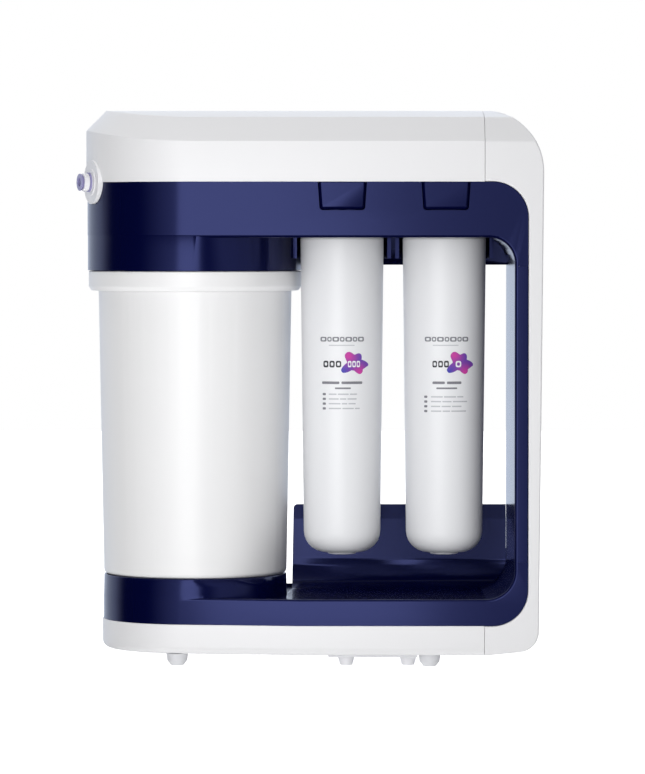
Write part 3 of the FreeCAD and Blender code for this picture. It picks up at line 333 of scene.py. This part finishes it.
def area_light(name, spot, target, size, power):
    """A rectangular white lamp at spot that faces target: size is (width, height), power is in watts."""
    light = bpy.data.lights.new(name, "AREA")
    light.shape = "RECTANGLE"
    light.size = size[0]
    light.size_y = size[1]
    light.energy = power
    lamp = bpy.data.objects.new(name, light)
    lamp.location = spot
    lamp.rotation_euler = (Vector(target) - Vector(spot)).to_track_quat("-Z", "Y").to_euler()
    bpy.context.scene.collection.objects.link(lamp)
    return lamp


def make_lamps():
    """A tall softbox at the front left and two low fill lamps that leave no reflection."""
    area_light("softbox", (-0.215, -1.35, 0.42), (-0.215, 0, 0.42), (0.54, 1.1), 5.2)
    for name, spot, power in FILL_LAMPS:
        fill = area_light(name, spot, (spot[0] * 0.3, 0, FILL_TARGET_HEIGHT), (0.3, 0.4), power)
        fill.visible_glossy = False


def make_world():
    """A white cove that is dark at both sides.

    Reflections see its bright panels, matt surfaces get a soft share of it, and the camera sees white."""
    world = bpy.data.worlds.new("studio")
    bpy.context.scene.world = world
    world.use_nodes = True
    tree = world.node_tree
    background = tree.nodes["Background"]
    place = add(tree, "ShaderNodeTexCoord").outputs["Generated"]
    way = add(tree, "ShaderNodeSeparateXYZ", [("Vector", place)])
    ahead = add(tree, "ShaderNodeMath", [(0, way.outputs["Y"]), (1, -1.0)], operation="MULTIPLY")
    turn = add(tree, "ShaderNodeMath", [(0, way.outputs["X"]), (1, ahead.outputs["Value"])],
               operation="ARCTAN2").outputs["Value"]

    def rise(value, start, stop, low=0.0, high=1.0):
        """A smooth step in value from low at start to high at stop."""
        return add(tree, "ShaderNodeMapRange", [("Value", value), ("From Min", start), ("From Max", stop),
                                                ("To Min", low), ("To Max", high)],
                   interpolation_type="SMOOTHSTEP").outputs["Result"]

    def combine(first, second, operation):
        return add(tree, "ShaderNodeMath", [(0, first), (1, second)], operation=operation).outputs["Value"]

    # what reflections see: a panel behind, one at the left front and one at the right, dark below, dim above
    behind = rise(way.outputs["Y"], 0.15, 0.55)
    left_glow = combine(rise(turn, -1.1, -0.25, 0.0, 1.25), rise(turn, 0.0, 0.2, 1.0, 0.08), "MULTIPLY")
    right_glow = combine(rise(turn, 0.25, 0.6, 0.0, 0.75), rise(turn, 1.5, 1.1), "MULTIPLY")
    around = combine(combine(left_glow, rise(turn, 1.0, 0.6), "MULTIPLY"), right_glow, "ADD")
    overhead = rise(way.outputs["Z"], 0.35, 0.75)
    below = rise(way.outputs["Z"], -0.2, -0.45, 1.0, 0.0)
    walls = combine(behind, around, "ADD")
    level = combine(walls, below, "MULTIPLY")
    level = combine(level, rise(way.outputs["Z"], 0.35, 0.75, 1.0, 0.35), "MULTIPLY")
    mirrored = combine(level, combine(overhead, 0.25, "MULTIPLY"), "ADD")
    # what lights matt surfaces: above, below, a little in front, less at the sides, and a rim from behind
    underneath = rise(way.outputs["Z"], -0.3, -0.85)
    front = rise(ahead.outputs["Value"], 0.2, 0.7)
    soft = combine(combine(overhead, 1.05, "MULTIPLY"), combine(underneath, 1.95, "MULTIPLY"), "ADD")
    soft = combine(soft, combine(front, 0.04, "MULTIPLY"), "ADD")
    sideways = add(tree, "ShaderNodeMath", [(0, way.outputs["X"])], operation="ABSOLUTE").outputs["Value"]
    soft = combine(combine(soft, 0.08, "ADD"), rise(sideways, 0.15, 0.75, 1.0, 0.35), "MULTIPLY")
    rim = combine(rise(way.outputs["X"], 0.6, -0.6, 0.05, 1.0),
                  rise(way.outputs["Z"], 0.2, 0.5, 0.0, 0.9), "ADD")
    soft = combine(soft, combine(behind, rim, "MULTIPLY"), "ADD")
    rays = add(tree, "ShaderNodeLightPath")
    glossy = rays.outputs["Is Glossy Ray"]
    lit = add(tree, "ShaderNodeMix", [("Factor", glossy), ("A", soft), ("B", mirrored)])
    seen = add(tree, "ShaderNodeMix", [("Factor", rays.outputs["Is Camera Ray"]),
                                       ("A", lit.outputs["Result"]), ("B", 1.0)])
    sky = add(tree, "ShaderNodeMix", [("Factor", combine(glossy, behind, "MULTIPLY")),
                                      ("A", (1, 1, 1, 1)), ("B", (0.8, 0.9, 1.08, 1))], data_type="RGBA")
    tree.links.new(sky.outputs["Result"], background.inputs["Color"])
    tree.links.new(seen.outputs["Result"], background.inputs["Strength"])
    bpy.context.scene.view_settings.view_transform = "Standard"


def make_floor():
    """A plain white sheet, lit like a light table so that it shows no edge and hardly a shadow."""
    bm = bmesh.new()
    bmesh.ops.create_grid(bm, x_segments=8, y_segments=8, size=4)
    mesh = bpy.data.meshes.new("floor")
    bm.to_mesh(mesh)
    bm.free()
    floor = finished("floor", mesh)
    paper = plastic("floor_paper", linear(250, 250, 250), 0.9, tint=0.01, grain=60, bump=0.01)
    shader = paper.node_tree.nodes["Principled BSDF"]
    shader.inputs["Emission Color"].default_value = (1, 1, 1, 1)
    shader.inputs["Emission Strength"].default_value = 0.6
    paint(floor, paper)
    floor.visible_glossy = False
    floor.visible_diffuse = False


make_camera()
make_lamps()
make_world()
make_floor()


# ---------------------------------------------------------------- casing, tank and small parts

# The nodes that take rounded edges, with the width of the rounding in millimetres.
SKINS = {
    "top_cover": 1.2,
    "side_cover": 1.2,
    "base_cover": 1.2,
    "head_housing": 0.6,
    "column_liner": 0.6,
    "base_tray": 0.7,
    "release_button_left": 0.6,
    "release_button_right": 0.6,
    "underside_plate": 0.4,
    "tank_shell": 0.5,
    "tank_collar": 0.4,
    "port_body_feed": 0.25,
    "port_body_drain": 0.25,
    "port_body_product": 0.25,
    "port_collet_feed": 0.2,
    "port_collet_drain": 0.2,
    "port_collet_product": 0.2,
}
for node, bevel in SKINS.items():
    paint(refined(node, bevel * MM), looks[slot_of(node)])

for name, item in nodes.items():
    paint(item, looks[slot_of(name)])


# ---------------------------------------------------------------- cartridges and their printed labels

class Bottle:
    """A cartridge's shell: a slender cone with a rounded foot and a small ring under it.

    Its sizes and heights are in millimetres."""

    WALL = 2.2
    TAPER = 2.7
    RING_HEIGHT = 1.4
    RING_INNER = 8.2
    RING_OUTER = 10.6

    def __init__(self, side):
        self.side = side
        self.node = "cartridge_shell_" + side
        low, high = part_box(self.node)
        self.bottom = low.z / MM
        self.top = high.z / MM
        self.top_radius = (high.x - low.x) / 2 / MM
        self.foot_radius = self.top_radius - self.TAPER
        self.centre = centre_of(self.node)

    def radius_at(self, height):
        share = (height - self.bottom - self.RING_HEIGHT) / (self.top - self.bottom - self.RING_HEIGHT)
        return self.foot_radius + share * (self.top_radius - self.foot_radius)

    def make(self):
        low = self.bottom
        foot = low + self.RING_HEIGHT
        shell = lathe(self.node + "_skin", [
            (0, foot), (self.RING_INNER, foot), (self.RING_INNER, low), (self.RING_OUTER, low, 1),
            (self.RING_OUTER, foot), (self.foot_radius, foot, 16), (self.top_radius, self.top, 0.8),
            (self.top_radius - self.WALL, self.top), (self.foot_radius - self.WALL, foot + self.WALL, 14),
            (0, foot + self.WALL),
        ], self.centre, segments=192)
        paint(stand_for(shell, self.node), looks["cartridge_white"])

    def point(self, along, height, proud=0.07):
        """A point on the shell, along millimetres round it from the middle of its front."""
        radius = self.radius_at(height)
        angle = along / radius
        reach = (radius + proud) * MM
        across = self.centre[0] + reach * math.sin(angle)
        deep = self.centre[1] - reach * math.cos(angle)
        return across, deep, height * MM

    def printed(self, name, outlines, material, proud=0.07, hollow=False):
        """Ink on the shell: each outline is (middle along, middle height, [(along, height), ...]).

        Hollow outlines are printed as bands that leave their middle bare."""
        bm = bmesh.new()
        for along, height, rim in outlines:
            rings = []
            for share in (0.5, 0.75, 1.0) if hollow else (0.25, 0.5, 0.75, 1.0):
                shrunk = [(along + (a - along) * share, height + (h - height) * share) for a, h in rim]
                rings.append([bm.verts.new(self.point(a, h, proud)) for a, h in shrunk])
            middle = None if hollow else bm.verts.new(self.point(along, height, proud))
            for index in range(len(rim)):
                follow = (index + 1) % len(rim)
                if middle:
                    bm.faces.new((middle, rings[0][index], rings[0][follow]))
                for inner, outer in zip(rings, rings[1:]):
                    bm.faces.new((inner[index], outer[index], outer[follow], inner[follow]))
        bmesh.ops.recalc_face_normals(bm, faces=bm.faces)
        front = min(bm.faces, key=lambda face: face.calc_center_median().y)
        if front.normal.y > 0:
            bmesh.ops.reverse_faces(bm, faces=bm.faces)
        mesh = bpy.data.meshes.new(f"{name}_{self.side}")
        bm.to_mesh(mesh)
        bm.free()
        piece = finished(f"{name}_{self.side}", mesh)
        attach(piece, body_of(self.node))
        return paint(piece, material)


POINT_SPACING = 1.5  # millimetres between the points along a bar, so that it follows the round shell


def bar(left, right, middle, thickness):
    """A bar with eased corners as an outline for printing."""
    half = thickness / 2
    round_by = min(half, (right - left) / 2) * 0.6
    corners = [(left, middle - half, round_by), (right, middle - half, round_by),
               (right, middle + half, round_by), (left, middle + half, round_by)]
    rim = [(point.x, point.y) for point in rounded_outline(corners, steps=3)]
    spaced = []
    for index, (a, h) in enumerate(rim):
        onward = rim[(index + 1) % len(rim)]
        steps = max(1, round(abs(onward[0] - a) / POINT_SPACING))
        for step in range(steps):
            spaced.append((a + (onward[0] - a) * step / steps, h + (onward[1] - h) * step / steps))
    return (left + right) / 2, middle, spaced


def words(left, right, middle, thickness, lengths, gap):
    """Bars that stand for a line of words: their lengths are shares of the line."""
    total = sum(lengths)
    room = right - left - gap * (len(lengths) - 1)
    bars = []
    for share in lengths:
        length = room * share / total
        bars.append(bar(left, left + length, middle, thickness))
        left += length + gap
    return bars


# The blot's round lobes as (along, height, radius) from its middle.
LOBES = [(0, 0, 5.8), (-4.2, 5.0, 3.4), (3.2, 4.5, 2.8),
         (9.2, -1.2, 2.9), (3.9, -5.5, 3.1), (-7.3, -4.9, 3.2)]


def cloud(along, height, steps=96, blend=3):
    """A soft blot of colour round a middle point: the outline of the round LOBES, eased where they meet."""
    reaches = []
    for step in range(steps):
        bearing = 2 * math.pi * step / steps
        reach = 0
        for x, y, radius in LOBES:
            forward = x * math.cos(bearing) + y * math.sin(bearing)
            inside = radius ** 2 - (x ** 2 + y ** 2 - forward ** 2)
            if inside > 0:
                reach = max(reach, forward + math.sqrt(inside))
        reaches.append(reach)
    rim = []
    for step in range(steps):
        bearing = 2 * math.pi * step / steps
        near = [reaches[(step + shift) % steps] for shift in range(-blend, blend + 1)]
        far = sum(near) / len(near)
        rim.append((along + far * math.cos(bearing), height + far * math.sin(bearing)))
    return along, height, rim


# Each label's rows: left and right ends, or a middle, along the shell from the middle of its front.
# The list also has the height of its first line. All in millimetres, heights from the feet's soles.
LABELS = {
    "left": {"heading": (-17, 17), "name": (-14.4, -0.8), "cloud": 9.3, "mark": (4.2, 13.6),
             "title": (-15.6, 15.6), "subtitle": (-5.4, 6.4), "list": (-10.2, 14.0, 202.2),
             "bullets": -13.8},
    "right": {"heading": (-15.8, 18.2), "name": (-9.6, 2.6), "cloud": 11.3, "mark": (7.8, 12.2),
              "title": (-9.6, 12.4), "subtitle": (-6.6, 9.0), "list": (-10.8, 17.4, 200.2),
              "bullets": -15.0},
}
HEADING_HEIGHT = 243.1
SUBHEADING_HEIGHT = 238.6
NAME_HEIGHT = 224.6
CLOUD_HEIGHT = 225.5
TITLE_HEIGHT = 210.7
SUBTITLE_HEIGHT = 206.6
MARK_PITCH = 3.4     # from one block of the mark to the next
LIST_ROWS = 4
LIST_PITCH = 3.55


def print_label(bottle):
    """A plain label with bars for its words, a mark on a blot of colour and a list."""
    text = LABELS[bottle.side]
    chance = random.Random(7 + len(bottle.side))
    left, right = text["heading"]
    bottle.printed("heading", words(left, right, HEADING_HEIGHT, 3.5, (3, 2, 3, 2, 3, 2, 3), 0.6),
                   print_mid, hollow=True)
    bottle.printed("subheading", [bar(left * 0.6, right * 0.55, SUBHEADING_HEIGHT, 0.6)], print_pale)
    left, right = text["name"]
    bottle.printed("name", words(left, right, NAME_HEIGHT, 4.9, (1, 1, 1), 0.9),
                   print_dark, proud=0.17, hollow=True)
    middle = text["cloud"]
    pink = [bottle.point(middle - 4.4, 231.0), bottle.point(middle + 4.2, 218.4)]
    bottle.printed("cloud", [cloud(middle, CLOUD_HEIGHT)], cloud_print("cloud_" + bottle.side, pink))
    left, right = text["mark"]
    blocks = (1,) * round((right - left) / MARK_PITCH)
    bottle.printed("mark", words(left, right, NAME_HEIGHT, 4.7, blocks, 0.7),
                   print_white, proud=0.14, hollow=True)
    left, right = text["title"]
    bottle.printed("title", words(left, right, TITLE_HEIGHT, 1.9, (5, 6), 1.6), print_mid)
    left, right = text["subtitle"]
    bottle.printed("subtitle", [bar(left, right, SUBTITLE_HEIGHT, 1.2)], print_mid)
    left, right, start = text["list"]
    lines = []
    dots = []
    for row in range(LIST_ROWS):
        height = start - LIST_PITCH * row
        reach = right - chance.uniform(0, 0.25) * (right - left)
        lines += words(left, reach, height, 0.9, [chance.uniform(1, 3) for _ in range(3)], 0.9)
        dots.append(bar(text["bullets"] - 1.3, text["bullets"] + 1.3, height, 1.7))
    bottle.printed("list", lines, print_pale)
    bottle.printed("bullets", dots, print_mid)


for side in ("left", "right"):
    bottle = Bottle(side)
    bottle.make()
    print_label(bottle)
